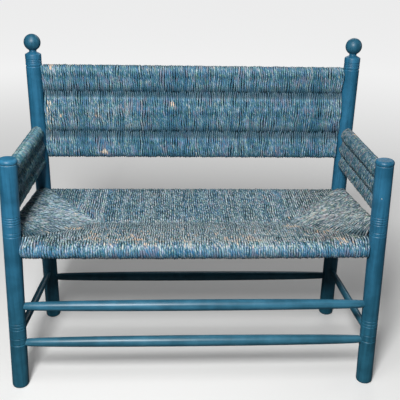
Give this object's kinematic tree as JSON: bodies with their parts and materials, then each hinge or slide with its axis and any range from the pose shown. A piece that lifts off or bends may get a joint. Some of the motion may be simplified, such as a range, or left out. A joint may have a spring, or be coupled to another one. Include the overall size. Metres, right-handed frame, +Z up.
{
  "type": "bench",
  "caption": "Armed bench on turned posts with ball finials, rungs at the front, back and sides, and a woven rush seat, back and arms.",
  "frame": {"origin": "on the floor under the middle of the outer box", "axes": "+X along the bench, to the right as one faces it; +Y from the front to the back; +Z up"},
  "size_m": [1.0656, 0.4404, 0.9456],
  "materials": {
    "paint": "turned wood under satin blue paint, worn at its edges",
    "bare_wood": "plain turned wood, hidden under the rush",
    "painted_rush": "twisted rush cord under worn blue paint"
  },
  "bodies": {
    "root": {"front_post_left": "paint", "front_post_right": "paint", "rear_post_left": "paint", "rear_post_right": "paint", "front_rung_upper": "paint", "front_rung_lower": "paint", "rear_rung": "paint", "side_rung_left": "paint", "side_rung_right": "paint", "seat_rail_front": "bare_wood", "seat_rail_rear": "bare_wood", "seat_rail_left": "bare_wood", "seat_rail_right": "bare_wood", "back_rail_top": "bare_wood", "back_rail_middle": "bare_wood", "back_rail_bottom": "bare_wood", "arm_left_rail_top": "bare_wood", "arm_left_rail_middle": "bare_wood", "arm_left_rail_bottom": "bare_wood", "arm_right_rail_top": "bare_wood", "arm_right_rail_middle": "bare_wood", "arm_right_rail_bottom": "bare_wood", "seat_rush": "painted_rush", "back_rush": "painted_rush", "arm_left_rush": "painted_rush", "arm_right_rush": "painted_rush"}
  },
  "joints": []
}
